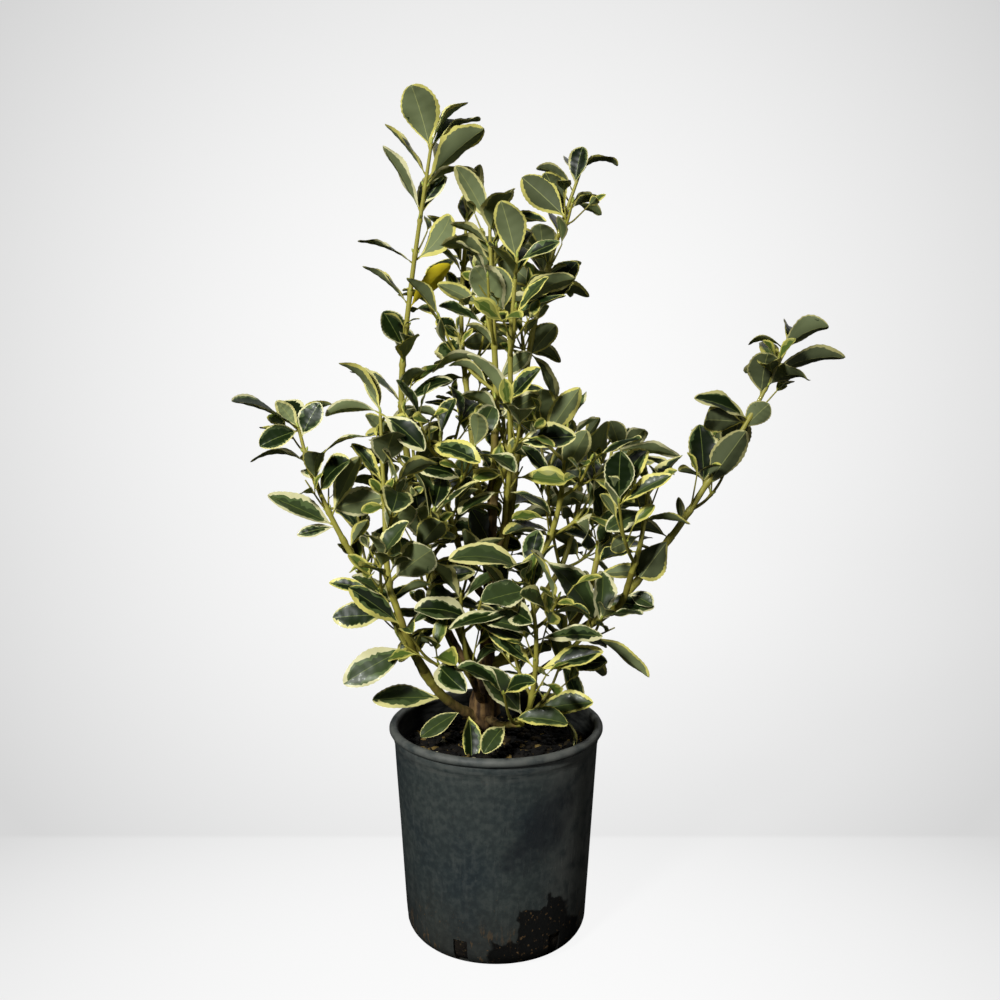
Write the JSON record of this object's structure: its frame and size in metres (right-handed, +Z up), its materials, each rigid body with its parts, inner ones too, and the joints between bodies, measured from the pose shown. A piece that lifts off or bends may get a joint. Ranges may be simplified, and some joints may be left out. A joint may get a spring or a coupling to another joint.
{
  "type": "potted variegated spindle shrub",
  "caption": "Young evergreen spindle shrub with cream-edged leaves on upright shoots, standing in a soil-filled round nursery pot with drainage slots.",
  "frame": {"origin": "centre of the pot's flat underside", "axes": "+Z up, -Y towards the side that the shrub is looked at from, +X to that viewer's right"},
  "size_m": [0.5563, 0.3466, 0.8564],
  "materials": {
    "pot_plastic": "matt moulded plastic, scuffed",
    "soil": "moist crumbly potting mix",
    "bark": "green young stems, brown and ridged low down",
    "foliage": "glossy leaf with a cream edge, matt beneath"
  },
  "bodies": {
    "root": {"pot": "pot_plastic", "soil": "soil", "trunk": "bark", "bough_left": "bark", "bough_left_upright": "bark", "bough_tall_left": "bark", "bough_low_left": "bark", "bough_front": "bark", "bough_front_left": "bark", "bough_right": "bark", "bough_right_upper": "bark", "bough_right_lower": "bark", "bough_mid_right": "bark", "bough_low_right": "bark", "bough_mid_left": "bark", "bough_inner": "bark", "bough_centre_right": "bark", "bough_back_right": "bark", "bough_back_left": "bark", "bough_behind": "bark", "bough_behind_left": "bark", "bough_behind_right": "bark", "leaves_tall_left": "foliage", "leaves_far_left": "foliage", "leaves_left": "foliage", "leaves_front": "foliage", "leaves_right_arm": "foliage", "leaves_mid_right": "foliage", "leaves_right": "foliage", "leaves_right_low": "foliage", "leaves_low_left": "foliage", "leaves_low_front": "foliage", "leaves_low_right": "foliage", "leaves_mid_left": "foliage", "leaves_inner": "foliage", "leaves_centre_right": "foliage", "leaves_centre": "foliage", "leaves_back_right": "foliage", "leaves_back_left": "foliage", "leaves_behind": "foliage", "leaves_behind_left": "foliage", "leaves_behind_right": "foliage"}
  },
  "joints": []
}
